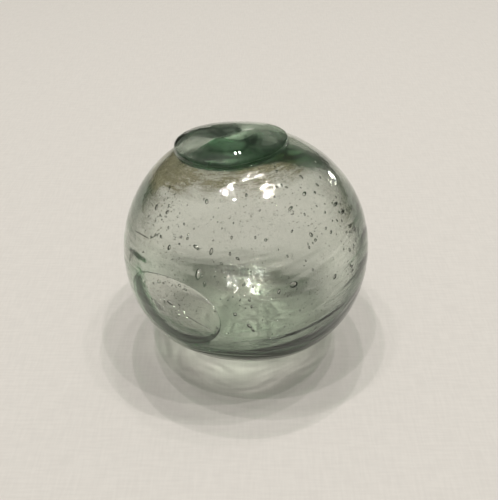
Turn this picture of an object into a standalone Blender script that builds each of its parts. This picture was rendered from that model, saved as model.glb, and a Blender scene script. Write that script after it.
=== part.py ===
"""Hand-blown glass float ball with its seal button, lying loose on its small resting flat.

Lengths are in metres and +Z is up. The origin is the centre of the resting flat. The ball was
blown on an iron: the blow axis runs from the globe's centre through the hole that the iron left,
and the button of hot glass that seals the hole was dropped on there and pressed down. The ball
lies with that axis leaning a little to the left (-X) and to the back (+Y).
"""

from math import cos, pi, radians, sin
from typing import NamedTuple

import bmesh
import bpy
import numpy as np
from mathutils import Euler

# Globe
GLOBE_RADIUS = 0.040
GLOBE_SEGMENTS = 68
GLOBE_RINGS = 42
RESTING_FLAT_RADIUS = 0.0085

# Blow axis
LEAN_TO_LEFT = radians(6.1)
LEAN_TO_BACK = radians(5.4)

# Crown of the globe, which sank in under the hot button until this much glass was left at the pit
SEAL_WALL = 0.0016
CROWN_SINK_RADIUS = 0.0100

# Seal button, in a frame with its origin at the globe's centre and its Z on the blow axis
BUTTON_RADIUS = 0.0172
BUTTON_SHIFT_TO_LEFT = 0.0013
BUTTON_RIM_THICKNESS = 0.0020
BUTTON_DOME_RISE = 0.0026
BUTTON_SEGMENTS = 72
BUTTON_TOP_RINGS = 14
BUTTON_EDGE_STEPS = 5
BUTTON_UNDER_RINGS = 7
RIM_EDGE_START = radians(68)
RIM_PLAIN_SHARE = 0.20
UNDERSIDE_INSET = 0.0016

# Pit left where the gather was twisted off, off the middle of the button
PIT_DEPTH = 0.0030
PIT_LENGTH = 0.0064
PIT_WIDTH = 0.0040
PIT_X = -0.0026
PIT_Y = 0.0008
PIT_TURN = radians(12)

# Fold of glass that curls round the front of the pit
FOLD_HEIGHT = 0.0017
FOLD_RADIUS = 0.0064
FOLD_FLARE = 0.0070
FOLD_FLARE_TURN = radians(18)
FOLD_START = radians(218)
FOLD_RISE_TURN = radians(40)
FOLD_FALL_START = radians(100)
FOLD_FALL_TURN = radians(110)
FOLD_OUTER_REACH = 0.0055
FOLD_INNER_REACH = 0.0013

# Clearance between the two pieces of glass
SEAT_GAP = 0.0003

# The underside is drawn this far inside the globe and then pushed out on to its seat
SEAT_DRAW_DEPTH = 0.0060

AXIS_MERGE = 0.00001


class Swell(NamedTuple):
    """A soft swelling (or, below zero, flattening) of the blown wall."""

    azimuth: float
    elevation: float
    height_share: float
    reach: float


# Heights are shares of the globe's radius
SWELLS = (
    # crown
    Swell(radians(139), radians(82), -0.016, radians(30)),
    # right shoulder
    Swell(radians(40), radians(53), -0.020, radians(30)),
    # left side
    Swell(radians(-163), radians(-6), 0.012, radians(32)),
    # skin over the air blister, low on the left
    Swell(radians(-128), radians(-5), 0.030, radians(23)),
    # front, low down
    Swell(radians(-97), radians(-43), -0.033, radians(30)),
    # right side, low down
    Swell(radians(-33), radians(-22), 0.012, radians(32)),
)

# The button's outline as shares of its radius: (lobes, cosine share, sine share)
BUTTON_OUTLINE = ((2, 0.026, -0.042), (3, 0.022, 0.029))


def direction(azimuth, elevation):
    """Return the unit vector of an azimuth from +X and an elevation from the horizontal."""
    return np.array((cos(elevation) * cos(azimuth), cos(elevation) * sin(azimuth), sin(elevation)))


def blow_axis_rotation():
    """Return the rotation that carries +Z on to the blow axis."""
    return Euler((-LEAN_TO_BACK, -LEAN_TO_LEFT, 0.0), "XYZ")


def blow_axis_matrix():
    """Return the same rotation as a 3 x 3 array."""
    return np.array(blow_axis_rotation().to_matrix())


def blown_reach(directions):
    """Return how far the blown skin is from the centre along each unit direction."""
    reach = np.full(len(directions), GLOBE_RADIUS)
    for swell in SWELLS:
        towards = directions @ direction(swell.azimuth, swell.elevation)
        angle = np.arccos(np.clip(towards, -1.0, 1.0))
        reach += GLOBE_RADIUS * swell.height_share * np.exp(-((angle / swell.reach) ** 2))
    return reach


def crown_sink_depth():
    """Return how far the crown sank in on the blow axis, from the glass left under the pit."""
    crown = float(blown_reach(blow_axis_matrix()[:, 2][None, :])[0])
    pit_floor = rim_top()[1] + BUTTON_DOME_RISE - PIT_DEPTH
    return crown - (pit_floor - SEAL_WALL - SEAT_GAP)


def globe_reach(directions):
    """Return how far the globe's skin is from its centre, with the crown sunk in."""
    along_axis = np.clip(directions @ blow_axis_matrix()[:, 2], -1.0, 1.0)
    off_axis = GLOBE_RADIUS * np.sqrt(1.0 - along_axis**2)
    sink = crown_sink_depth() * np.exp(-((off_axis / CROWN_SINK_RADIUS) ** 2))
    return blown_reach(directions) - np.where(along_axis > 0.0, sink, 0.0)


def rim_centre():
    """Return the centre of the rim's round edge, off the axis and up it, on the globe's sphere."""
    edge_x = BUTTON_RADIUS - BUTTON_RIM_THICKNESS / 2.0
    return edge_x, (GLOBE_RADIUS**2 - edge_x**2) ** 0.5


def rim_top():
    """Return where the rim's round edge meets the button's top."""
    edge_x, edge_z = rim_centre()
    edge_radius = BUTTON_RIM_THICKNESS / 2.0
    return edge_x + edge_radius * cos(RIM_EDGE_START), edge_z + edge_radius * sin(RIM_EDGE_START)


def centre_height():
    """Return the height of the globe's centre, which leaves the flat its named radius."""
    reach_down = float(globe_reach(np.array(((0.0, 0.0, -1.0),)))[0])
    return (reach_down**2 - RESTING_FLAT_RADIUS**2) ** 0.5


def smooth_step(value):
    """Ease from 0 to 1 as the value goes from 0 to 1."""
    clipped = np.clip(value, 0.0, 1.0)
    return clipped * clipped * (3.0 - 2.0 * clipped)


def button_outline(angles):
    """Return the button's radius, as a share of its own, at each angle round the blow axis."""
    share = np.ones_like(angles)
    for lobes, cosine_share, sine_share in BUTTON_OUTLINE:
        share += cosine_share * np.cos(lobes * angles) + sine_share * np.sin(lobes * angles)
    return share


def button_carving(x, y):
    """Return how much the pit and the fold lower or lift the button's top, short of its rim."""
    off_x = x - PIT_X
    off_y = y - PIT_Y
    along = off_x * cos(PIT_TURN) + off_y * sin(PIT_TURN)
    across = off_y * cos(PIT_TURN) - off_x * sin(PIT_TURN)
    pit = PIT_DEPTH * np.exp(-((along / PIT_LENGTH) ** 2) - (across / PIT_WIDTH) ** 2)
    turn = np.mod(np.arctan2(off_y, off_x) - FOLD_START, 2.0 * pi)
    fold_radius = FOLD_RADIUS + FOLD_FLARE * np.exp(-turn / FOLD_FLARE_TURN)
    outside = np.hypot(off_x, off_y) - fold_radius
    fold_reach = np.where(outside > 0.0, FOLD_OUTER_REACH, FOLD_INNER_REACH)
    rise = smooth_step(turn / FOLD_RISE_TURN)
    fall = 1.0 - smooth_step((turn - FOLD_FALL_START) / FOLD_FALL_TURN)
    fold = FOLD_HEIGHT * rise * fall * np.exp(-((outside / fold_reach) ** 2))
    from_rim = 1.0 - np.hypot(x + BUTTON_SHIFT_TO_LEFT, y) / rim_top()[0]
    return (fold - pit) * smooth_step(from_rim / RIM_PLAIN_SHARE)


def button_profile():
    """Return the button's turned profile, from the middle of its top round the rim to below."""
    edge_radius = BUTTON_RIM_THICKNESS / 2.0
    edge_x, edge_z = rim_centre()
    top_x, top_z = rim_top()
    points = []
    for ring in range(BUTTON_TOP_RINGS):
        share = ring / BUTTON_TOP_RINGS
        points.append((share * top_x, top_z + BUTTON_DOME_RISE * (1.0 - share**2)))
    for step in range(BUTTON_EDGE_STEPS + 1):
        angle = RIM_EDGE_START - (RIM_EDGE_START + pi / 2.0) * step / BUTTON_EDGE_STEPS
        points.append((edge_x + edge_radius * cos(angle), edge_z + edge_radius * sin(angle)))
    under_radius = GLOBE_RADIUS - SEAT_DRAW_DEPTH
    under_angle = np.arcsin((edge_x - UNDERSIDE_INSET) / GLOBE_RADIUS)
    for ring in range(BUTTON_UNDER_RINGS + 1):
        angle = under_angle * (1.0 - ring / BUTTON_UNDER_RINGS)
        points.append((under_radius * sin(angle), under_radius * cos(angle)))
    return points


def seat_on_globe(points):
    """Push each point that is nearer to the centre than the globe's skin and the gap out to it."""
    distance = np.linalg.norm(points, axis=1)
    in_world = (points / distance[:, None]) @ blow_axis_matrix().T
    seat = globe_reach(in_world) + SEAT_GAP
    return points * np.maximum(1.0, seat / distance)[:, None]


def mesh_points(mesh):
    """Return a mesh's vertices as an array of rows."""
    flat = np.empty(len(mesh.vertices) * 3)
    mesh.vertices.foreach_get("co", flat)
    return flat.reshape(-1, 3)


def set_mesh_points(mesh, points):
    """Move a mesh's vertices to the rows of an array."""
    mesh.vertices.foreach_set("co", points.ravel())
    mesh.update()


def glass(name, colour, roughness):
    """Return a clear, tinted glass material."""
    material = bpy.data.materials.new(name)
    material.use_nodes = True
    shader = material.node_tree.nodes["Principled BSDF"]
    shader.inputs["Base Color"].default_value = (*colour, 1.0)
    shader.inputs["Metallic"].default_value = 0.0
    shader.inputs["Roughness"].default_value = roughness
    shader.inputs["IOR"].default_value = 1.52
    shader.inputs["Transmission Weight"].default_value = 1.0
    return material


def move_to(collection, part):
    """Put an object in one collection only."""
    for holder in list(part.users_collection):
        holder.objects.unlink(part)
    collection.objects.link(part)


def build_globe(parts, cutters):
    """Blow the globe out of a sphere and cut the small flat that it rests on."""
    height = centre_height()
    bpy.ops.mesh.primitive_uv_sphere_add(
        segments=GLOBE_SEGMENTS, ring_count=GLOBE_RINGS, radius=GLOBE_RADIUS
    )
    globe = bpy.context.object
    globe.name = "glass_globe"
    globe.location = (0.0, 0.0, height)
    points = mesh_points(globe.data)
    directions = points / np.linalg.norm(points, axis=1)[:, None]
    set_mesh_points(globe.data, directions * globe_reach(directions)[:, None])
    globe.data.shade_smooth()
    globe.data.materials.append(glass("pale_green_glass", (0.66, 0.74, 0.65), 0.04))
    move_to(parts, globe)

    block = 4.0 * GLOBE_RADIUS
    bpy.ops.mesh.primitive_cube_add(size=block, location=(0.0, 0.0, -block / 2.0))
    cutter = bpy.context.object
    cutter.name = "cut_resting_flat"
    cutter.hide_render = True
    cutter.display_type = "WIRE"
    move_to(cutters, cutter)
    cut = globe.modifiers.new("resting_flat", "BOOLEAN")
    cut.operation = "DIFFERENCE"
    cut.solver = "EXACT"
    cut.object = cutter
    return globe


def turned_button_mesh():
    """Return the button's profile turned round the blow axis, before it is shaped."""
    profile = bpy.data.meshes.new("button_profile")
    points = [(x, 0.0, z) for x, z in button_profile()]
    edges = [(index, index + 1) for index in range(len(points) - 1)]
    profile.from_pydata(points, edges, [])
    blank = bpy.data.objects.new("button_blank", profile)
    bpy.context.scene.collection.objects.link(blank)
    turn = blank.modifiers.new("turn", "SCREW")
    turn.axis = "Z"
    turn.steps = BUTTON_SEGMENTS
    turn.render_steps = BUTTON_SEGMENTS
    turn.use_merge_vertices = True
    turn.merge_threshold = AXIS_MERGE
    turned = bpy.data.meshes.new_from_object(
        blank.evaluated_get(bpy.context.evaluated_depsgraph_get())
    )
    bpy.data.objects.remove(blank)
    welded = bmesh.new()
    welded.from_mesh(turned)
    bmesh.ops.remove_doubles(welded, verts=welded.verts, dist=AXIS_MERGE)
    welded.to_mesh(turned)
    welded.free()
    return turned


def build_button(parts, blow_axis):
    """Press the gather of hot glass on to the crown: outline, pit, fold and seat."""
    mesh = turned_button_mesh()
    points = mesh_points(mesh)
    share = button_outline(np.arctan2(points[:, 1], points[:, 0]))
    points[:, 0] = points[:, 0] * share - BUTTON_SHIFT_TO_LEFT
    points[:, 1] *= share
    on_top = np.linalg.norm(points, axis=1) > GLOBE_RADIUS - SEAT_DRAW_DEPTH / 2.0
    points[on_top, 2] += button_carving(points[on_top, 0], points[on_top, 1])
    set_mesh_points(mesh, seat_on_globe(points))
    mesh.name = "seal_button"
    mesh.shade_smooth()
    mesh.materials.append(glass("deep_green_glass", (0.30, 0.43, 0.34), 0.05))
    button = bpy.data.objects.new("seal_button", mesh)
    button.parent = blow_axis
    parts.objects.link(button)
    return button


def main():
    """Build the float ball."""
    for leftover in list(bpy.data.objects):
        bpy.data.objects.remove(leftover, do_unlink=True)
    parts = bpy.data.collections.new("glass_float_ball")
    cutters = bpy.data.collections.new("glass_float_ball_cutters")
    for collection in (parts, cutters):
        bpy.context.scene.collection.children.link(collection)
    blow_axis = bpy.data.objects.new("blow_axis", None)
    blow_axis.location = (0.0, 0.0, centre_height())
    blow_axis.rotation_euler = blow_axis_rotation()
    parts.objects.link(blow_axis)
    build_globe(parts, cutters)
    build_button(parts, blow_axis)


main()
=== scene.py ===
"""The looks of a hand-blown glass float ball with its seal button, lying on pale cloth.

The whole ball is one body of glass, as the real one is: an outer skin with the button melted on to
its crown, a cavity, an air blister low on one side and several hundred seeds. Lengths are metres.
"""

import logging
from dataclasses import astuple, dataclass, field
from enum import Enum
from functools import cached_property
from math import cos, pi, radians, sin, sqrt

import bpy
import numpy as np
from mathutils import Euler, Matrix


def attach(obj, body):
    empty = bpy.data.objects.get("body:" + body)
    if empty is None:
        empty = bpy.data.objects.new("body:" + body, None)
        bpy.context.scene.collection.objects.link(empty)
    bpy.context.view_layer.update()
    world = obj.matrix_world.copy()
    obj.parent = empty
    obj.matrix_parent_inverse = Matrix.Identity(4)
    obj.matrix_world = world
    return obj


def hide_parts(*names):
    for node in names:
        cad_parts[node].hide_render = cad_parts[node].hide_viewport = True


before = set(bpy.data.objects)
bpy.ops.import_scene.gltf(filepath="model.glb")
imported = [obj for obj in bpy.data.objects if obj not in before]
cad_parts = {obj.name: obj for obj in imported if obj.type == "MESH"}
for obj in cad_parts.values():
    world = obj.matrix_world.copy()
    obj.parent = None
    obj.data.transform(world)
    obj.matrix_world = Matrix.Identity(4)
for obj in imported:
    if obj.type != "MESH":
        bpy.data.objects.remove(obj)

log = logging.getLogger("glass_float")

Array = np.ndarray
Socket = bpy.types.NodeSocket
Triple = tuple[float, float, float]
Colour = Triple
Pixel = tuple[float, float]
# Where an easing starts, and how long it is
Step = tuple[float, float]

UP = (0.0, 0.0, 1.0)
NOISE_WAVES = 18
SHORTEST_WAVE, LONGEST_WAVE = 0.7, 1.4
BOUNCES = 16
CLEAR_BOUNCES = 32
CUBIC_CM_PER_M3 = 1e6


class Look(Enum):
    """What each point of the glass carries for its finish, as a named value."""

    FILM = "film"
    HAZE = "haze"
    # Deep green tint of thick glass, with painted light and shade: painted shadow, shade and
    # highlights
    DEEP_TINT_AND_PAINTED_SHADING = "shade"
    # Painted shade at the limb, where the ball is seen at a slant
    PAINTED_LIMB_SHADE = "limb"
    RIPPLE = "ripple"
    GLOW = "glow"

    @property
    def plain(self) -> float:
        """The value of a point that has none of its own."""
        return 1.0 if self is Look.GLOW else 0.0


def smooth_step(value: Array, start: float = 0.0, length: float = 1.0) -> Array:
    """Ease from 0 at the start to 1 a length further on."""
    clipped = np.clip((value - start) / length, 0.0, 1.0)
    return clipped * clipped * (3.0 - 2.0 * clipped)


def bell(value: Array, reach: float | Array, power: int | float = 2) -> Array:
    """Return a bell curve: 1 at 0 and 1/e at its reach, squarer as the power grows."""
    return np.exp(-((value / reach) ** power))


def unit(azimuth: float, elevation: float) -> Array:
    """Return the unit vector of an azimuth from +X and an elevation from the horizontal."""
    return np.array((cos(elevation) * cos(azimuth), cos(elevation) * sin(azimuth), sin(elevation)))


def normalised(vectors: Array) -> Array:
    """Return each row of an array at unit length."""
    return vectors / np.linalg.norm(vectors, axis=-1, keepdims=True)


def angle_from(middle: Array, ways: Array) -> Array:
    """Return the angle of each direction from a middle one."""
    return np.arccos(np.clip(ways @ middle, -1.0, 1.0))


def east_north(ways: Array) -> tuple[Array, Array]:
    """Return the level and the rising direction that lie square to each direction."""
    east = normalised(np.cross(UP, ways))
    return east, np.cross(ways, east)


def on_sphere(polar: Array, longitude: Array) -> Array:
    """Return the points of a unit sphere.

    Args:
        polar: Angles from the pole.
        longitude: Angles round it.

    Returns:
        Rows of points.
    """
    polar, longitude = np.broadcast_arrays(polar, longitude)
    across = np.sin(polar)
    return np.stack(
        (across * np.cos(longitude), across * np.sin(longitude), np.cos(polar)), axis=-1
    )


def wave_noise(points: Array, wavelength: float, seed: int, waves: int = NOISE_WAVES) -> Array:
    """Return smooth noise of about unit spread, the sum of plane waves in random directions.

    Args:
        points: Rows of points.
        wavelength: Mean length of the waves, in the unit of the points.
        seed: Seed of the directions, lengths and phases.
        waves: How many waves are added up.

    Returns:
        One value for each point.
    """
    draw = np.random.default_rng(seed)
    ways = normalised(draw.normal(size=(waves, 3)))
    pitch = 2.0 * pi / (wavelength * draw.uniform(SHORTEST_WAVE, LONGEST_WAVE, waves))
    phase = draw.uniform(0.0, 2.0 * pi, waves)
    total = np.zeros(points.shape[:-1])
    for way, rate, start in zip(ways, pitch, phase):
        total += np.sin(points @ way * rate + start)
    return total * sqrt(2.0 / waves)


def linked(name: str, data: bpy.types.ID) -> bpy.types.Object:
    """Add an object to the scene.

    Args:
        name: The object's name.
        data: Its mesh, light or camera.

    Returns:
        The object.
    """
    made = bpy.data.objects.new(name, data)
    bpy.context.scene.collection.objects.link(made)
    return made


def pose(axes: Array, place: Array) -> Matrix:
    """Return the matrix of a turned and placed object.

    Args:
        axes: Its own three directions, as rows.
        place: Where it is.

    Returns:
        The matrix.
    """
    matrix = Matrix(axes.T.tolist()).to_4x4()
    matrix.translation = place.tolist()
    return matrix


@dataclass(frozen=True)
class Noise:
    """Smooth noise of a named strength: its amount, the mean length of its waves and its seed."""

    amount: float
    wavelength: float
    seed: int

    def at(self, points: Array) -> Array:
        """Return the noise at each point."""
        return self.amount * wave_noise(points, self.wavelength, self.seed)


@dataclass(frozen=True)
class Swell:
    """A soft swelling, or a flattening where its height is below zero."""

    azimuth: float
    elevation: float
    height: float
    reach: float

    def share(self, ways: Array) -> Array:
        """Return how much of the swelling each direction has, a bell curve of its angle."""
        return bell(angle_from(unit(self.azimuth, self.elevation), ways), self.reach)


@dataclass(frozen=True)
class FloatForm:
    """The form that the glass shares with the solids: the blown globe and the pressed button."""

    globe_radius: float = 0.040
    flat_radius: float = 0.0085
    lean_to_left: float = radians(6.1)
    lean_to_back: float = radians(5.4)
    seal_wall: float = 0.0016
    seat_gap: float = 0.0003
    sink_radius: float = 0.0100
    button_radius: float = 0.0172
    button_shift: float = 0.0013
    rim_thickness: float = 0.0020
    dome_rise: float = 0.0026
    rim_edge_start: float = radians(68)
    rim_plain_share: float = 0.20
    pit_depth: float = 0.0030
    pit_length: float = 0.0064
    pit_width: float = 0.0040
    pit_x: float = -0.0026
    pit_y: float = 0.0008
    pit_turn: float = radians(12)
    fold_height: float = 0.0017
    fold_radius: float = 0.0064
    fold_flare: float = 0.0070
    fold_flare_turn: float = radians(18)
    fold_start: float = radians(218)
    fold_rise_turn: float = radians(40)
    fold_fall_start: float = radians(100)
    fold_fall_turn: float = radians(110)
    fold_outer_reach: float = 0.0055
    fold_inner_reach: float = 0.0013
    outline: tuple[tuple[int, float, float], ...] = ((2, 0.026, -0.042), (3, 0.022, 0.029))
    swells: tuple[Swell, ...] = (
        Swell(radians(139), radians(82), -0.016, radians(30)),
        Swell(radians(40), radians(53), -0.020, radians(30)),
        Swell(radians(-163), radians(-6), 0.012, radians(32)),
        Swell(radians(-128), radians(-5), 0.030, radians(23)),
        Swell(radians(-97), radians(-43), -0.033, radians(30)),
        Swell(radians(-33), radians(-22), 0.012, radians(32)),
    )

    @cached_property
    def turn(self) -> Array:
        """The rotation that carries +Z on to the blow axis."""
        return np.array(Euler((-self.lean_to_back, -self.lean_to_left, 0.0), "XYZ").to_matrix())

    @cached_property
    def centre(self) -> Array:
        """The globe's centre, whose height leaves the resting flat its radius."""
        reach_down = float(self.reach(np.array(((0.0, 0.0, -1.0),)))[0])
        return np.array((0.0, 0.0, sqrt(reach_down**2 - self.flat_radius**2)))

    @cached_property
    def rim_centre(self) -> tuple[float, float]:
        """The centre of the rim's round edge, off the blow axis and up it."""
        edge_x = self.button_radius - self.rim_thickness / 2.0
        return edge_x, sqrt(self.globe_radius**2 - edge_x**2)

    @cached_property
    def rim_top(self) -> tuple[float, float]:
        """Where the rim's round edge meets the button's top."""
        edge_x, edge_z = self.rim_centre
        edge = self.rim_thickness / 2.0
        return edge_x + edge * cos(self.rim_edge_start), edge_z + edge * sin(self.rim_edge_start)

    @cached_property
    def sink_depth(self) -> float:
        """How far the crown sank in under the button, on the blow axis."""
        crown = float(self.blown_reach(self.turn[:, 2][None, :])[0])
        pit_floor = self.rim_top[1] + self.dome_rise - self.pit_depth
        return crown - (pit_floor - self.seal_wall - self.seat_gap)

    def blown_reach(self, ways: Array) -> Array:
        """Return the globe's radius before the crown sank in.

        Args:
            ways: Unit directions from the globe's centre.

        Returns:
            A radius for each direction, with every swell added as a share of the globe's radius.
        """
        reach = np.full(ways.shape[:-1], self.globe_radius)
        for swell in self.swells:
            reach += self.globe_radius * swell.height * swell.share(ways)
        return reach

    def reach(self, ways: Array) -> Array:
        """Return how far the globe's skin is from its centre, with the crown sunk in.

        Args:
            ways: Unit directions from the globe's centre.

        Returns:
            A radius for each direction.
        """
        along = np.clip(ways @ self.turn[:, 2], -1.0, 1.0)
        off_axis = self.globe_radius * np.sqrt(1.0 - along**2)
        sink = self.sink_depth * bell(off_axis, self.sink_radius)
        return self.blown_reach(ways) - np.where(along > 0.0, sink, 0.0)

    def button_share(self, angles: Array) -> Array:
        """Return the button's outline, a circle with low cosine lobes.

        Args:
            angles: Angles round the blow axis.

        Returns:
            The radius at each angle, as a share of the button's own.
        """
        share = np.ones_like(angles)
        for lobes, cosine_share, sine_share in self.outline:
            share += cosine_share * np.cos(lobes * angles) + sine_share * np.sin(lobes * angles)
        return share

    def carving(self, x: Array, y: Array) -> Array:
        """Return the relief of the button's top.

        The pit is a bell-shaped oval. The fold is a bell-shaped ridge along a spiral round the
        pit, gentle outside and steep inside, and both die out towards the rim.

        Args:
            x: Places across the button.
            y: Places up the button.

        Returns:
            How far the top is lifted at each place.
        """
        off_x = x - self.pit_x
        off_y = y - self.pit_y
        along = off_x * cos(self.pit_turn) + off_y * sin(self.pit_turn)
        across = off_y * cos(self.pit_turn) - off_x * sin(self.pit_turn)
        pit = self.pit_depth * np.exp(
            -((along / self.pit_length) ** 2) - (across / self.pit_width) ** 2
        )
        turn = np.mod(np.arctan2(off_y, off_x) - self.fold_start, 2.0 * pi)
        spiral = self.fold_radius + self.fold_flare * np.exp(-turn / self.fold_flare_turn)
        outside = np.hypot(off_x, off_y) - spiral
        reach = np.where(outside > 0.0, self.fold_outer_reach, self.fold_inner_reach)
        rise = smooth_step(turn / self.fold_rise_turn)
        fall = 1.0 - smooth_step((turn - self.fold_fall_start) / self.fold_fall_turn)
        fold = self.fold_height * rise * fall * bell(outside, reach)
        from_rim = 1.0 - np.hypot(x + self.button_shift, y) / self.rim_top[0]
        return (fold - pit) * smooth_step(from_rim / self.rim_plain_share)

    def to_world(self, points: Array) -> Array:
        """Turn points from the blow axis's frame to the world's."""
        return points @ self.turn.T + self.centre


@dataclass(frozen=True)
class PhotoView:
    """The camera: where the photo was taken from, as the ball's place and width in its frame."""

    form: FloatForm
    frame_width: int = 498
    frame_height: int = 500
    ball_x: float = 246.5
    ball_y: float = 244.0
    ball_radius_px: float = 121.0
    elevation: float = radians(37.0)
    lens_mm: float = 50.0
    sensor_mm: float = 36.0
    clip_start: float = 0.01
    outline_step: Step = (0.08, 0.08)

    @cached_property
    def focal_px(self) -> float:
        """The focal length in pixels of the frame."""
        return self.lens_mm / self.sensor_mm * self.frame_width

    @cached_property
    def axes(self) -> Array:
        """The camera's right, up and back directions, as rows."""
        rise, run = sin(self.elevation), cos(self.elevation)
        return np.array(((1.0, 0.0, 0.0), (0.0, rise, run), (0.0, -run, rise)))

    @cached_property
    def position(self) -> Array:
        """Where the camera is, from the ball's radius and its place in the frame."""
        spread = self.focal_px / self.ball_radius_px
        distance = self.form.globe_radius * sqrt(1.0 + spread**2)
        across = (self.ball_x - self.frame_width / 2.0) / self.focal_px * distance
        upward = (self.frame_height / 2.0 - self.ball_y) / self.focal_px * distance
        right, up, back = self.axes
        return self.form.centre + back * distance - right * across - up * upward

    def way_to(self, pixel: Pixel) -> Array:
        """Return the direction from the globe's centre to where a pixel meets its near side.

        Args:
            pixel: A place in the photo's frame.

        Returns:
            A unit vector.
        """
        right, up, back = self.axes
        across = (pixel[0] - self.frame_width / 2.0) / self.focal_px
        upward = (self.frame_height / 2.0 - pixel[1]) / self.focal_px
        ray = normalised(right * across + up * upward - back)
        start = self.position - self.form.centre
        half = start @ ray
        inside = max(0.0, half**2 - (start @ start - self.form.globe_radius**2))
        return normalised(start + ray * (-half - sqrt(inside)))

    def pixels_of(self, points: Array) -> Array:
        """Return where points fall in the photo's frame.

        Args:
            points: World points.

        Returns:
            A row of two pixel coordinates for each point.
        """
        right, up, back = self.axes
        offset = points - self.position
        scale = self.focal_px / -(offset @ back)
        across = self.frame_width / 2.0 + scale * (offset @ right)
        return np.stack((across, self.frame_height / 2.0 - scale * (offset @ up)), axis=-1)

    def near_side(self, points: Array) -> Array:
        """Return 1 for points on the ball's near side and 0 on its far side."""
        towards = normalised(self.position - self.form.centre)
        return smooth_step(normalised(points - self.form.centre) @ towards, *self.outline_step)

    def place_camera(self) -> bpy.types.Object:
        """Make the camera and set it as the scene's own.

        Returns:
            The camera object.
        """
        lens = bpy.data.cameras.new("camera")
        lens.lens = self.lens_mm
        lens.sensor_width = self.sensor_mm
        lens.clip_start = self.clip_start
        camera = linked("camera", lens)
        camera.matrix_world = pose(self.axes, self.position)
        bpy.context.scene.camera = camera
        return camera


@dataclass
class Shell:
    """One closed surface: points, quads and triangles, and named values for each point."""

    points: Array
    quads: Array
    triangles: Array
    values: dict[Look, Array] = field(default_factory=dict)

    def turned_inside_out(self) -> "Shell":
        """Return the shell with its faces turned, as the wall of a void."""
        return Shell(self.points, self.quads[:, ::-1], self.triangles[:, ::-1], self.values)


def closed_shell(rows: Array, first_pole: Array, last_pole: Array) -> Shell:
    """Close a grid of rings with a pole at each end.

    Ring i and column j make the quad (i, j), (i + 1, j), (i + 1, j + 1), (i, j + 1), columns
    wrapping round, and each end ring is joined to its pole by a fan.

    Args:
        rows: Points as (rings, columns, 3), running down from the first pole.
        first_pole: The point that closes the first ring.
        last_pole: The point that closes the last ring.

    Returns:
        The shell, its faces outward where the columns run anticlockwise seen from the first pole.
    """
    rings, columns = rows.shape[:2]
    index = np.arange(rings * columns).reshape(rings, columns)
    following = np.roll(index, -1, axis=1)
    quads = np.stack((index[:-1], index[1:], following[1:], following[:-1]), axis=-1)
    top = rings * columns
    first_fan = np.stack((np.full(columns, top), index[0], following[0]), axis=-1)
    last_fan = np.stack((np.full(columns, top + 1), following[-1], index[-1]), axis=-1)
    points = np.concatenate((rows.reshape(-1, 3), first_pole[None, :], last_pole[None, :]))
    return Shell(points, quads.reshape(-1, 4), np.concatenate((first_fan, last_fan)))


def mesh_of(name: str, shells: list[Shell]) -> bpy.types.Mesh:
    """Put shells into one smooth mesh, with the looks of each point as attributes.

    Args:
        name: The mesh's name.
        shells: The shells, in order.

    Returns:
        The mesh.
    """
    points = np.concatenate([shell.points for shell in shells])
    starts = np.cumsum([0] + [len(shell.points) for shell in shells[:-1]])
    quads = np.concatenate([shell.quads + start for shell, start in zip(shells, starts)])
    fans = np.concatenate([shell.triangles + start for shell, start in zip(shells, starts)])
    corners = np.concatenate((quads.ravel(), fans.ravel())).astype(np.int32)
    totals = np.concatenate((np.full(len(quads), 4), np.full(len(fans), 3))).astype(np.int32)
    mesh = bpy.data.meshes.new(name)
    mesh.vertices.add(len(points))
    mesh.vertices.foreach_set("co", points.astype(np.float32).ravel())
    mesh.loops.add(len(corners))
    mesh.loops.foreach_set("vertex_index", corners)
    mesh.polygons.add(len(totals))
    first_loops = np.concatenate(((0,), np.cumsum(totals)[:-1])).astype(np.int32)
    mesh.polygons.foreach_set("loop_start", first_loops)
    mesh.polygons.foreach_set("loop_total", totals)
    mesh.update(calc_edges=True)
    mesh.validate()
    mesh.shade_smooth()
    for look in Look:
        flat = [np.full(len(shell.points), look.plain) for shell in shells]
        values = [shell.values.get(look, even) for shell, even in zip(shells, flat)]
        attribute = mesh.attributes.new(look.value, "FLOAT", "POINT")
        attribute.data.foreach_set("value", np.concatenate(values).astype(np.float32))
    return mesh


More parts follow.
